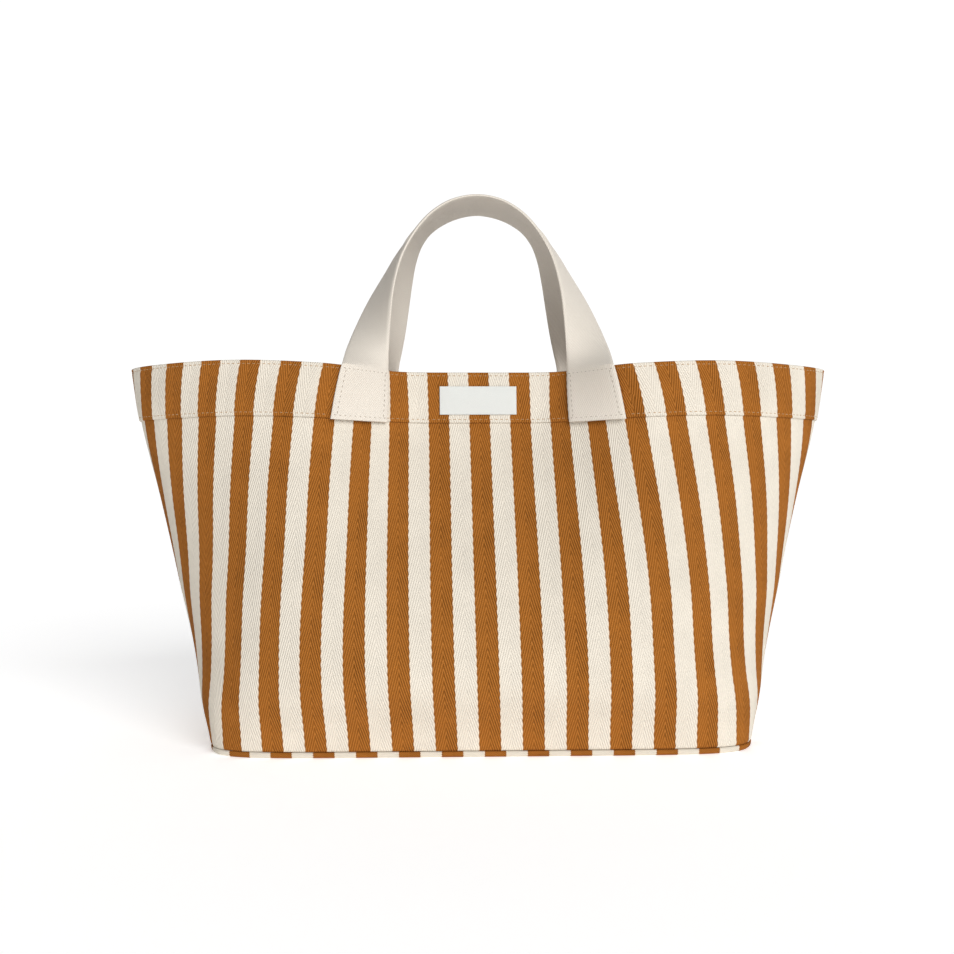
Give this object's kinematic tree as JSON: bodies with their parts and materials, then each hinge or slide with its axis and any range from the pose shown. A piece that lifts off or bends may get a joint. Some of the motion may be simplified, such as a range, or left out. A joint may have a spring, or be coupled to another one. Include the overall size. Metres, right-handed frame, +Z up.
{
  "type": "canvas tote bag",
  "caption": "Wide-mouthed striped herringbone canvas tote bag with a flat base, a sewn band round the mouth and two short strap handles that swing down.",
  "frame": {"origin": "on the surface the bag stands on, under the middle of its base", "axes": "+X to the right seen from the front, +Y towards the back, +Z up through the mouth"},
  "size_m": [0.4948, 0.2474, 0.3793],
  "materials": {
    "striped_canvas": "matte herringbone weave",
    "strap_twill": "matte twill weave",
    "label_weave": "smooth fine weave",
    "seam_tape": "matte plain weave"
  },
  "bodies": {
    "bag": {"front_panel": "striped_canvas", "back_panel": "striped_canvas", "base_panel": "striped_canvas", "front_band": "striped_canvas", "back_band": "striped_canvas", "left_side_seam": "seam_tape", "right_side_seam": "seam_tape", "base_seam_binding": "seam_tape", "woven_label": "label_weave", "front_handle_foot_left": "strap_twill", "front_handle_foot_right": "strap_twill", "back_handle_foot_left": "strap_twill", "back_handle_foot_right": "strap_twill"},
    "front_loop": {"front_handle": "strap_twill"},
    "back_loop": {"back_handle": "strap_twill"}
  },
  "joints": [
    {"name": "front_handle_swing", "type": "hinge", "parent": "bag", "child": "front_loop", "pos_m": [0, -0.08097, 0.2603], "axis": [1, 0, 0], "range_deg": [0, 172]},
    {"name": "back_handle_swing", "type": "hinge", "parent": "bag", "child": "back_loop", "pos_m": [0, 0.08097, 0.2603], "axis": [-1, 0, 0], "range_deg": [0, 172]}
  ]
}
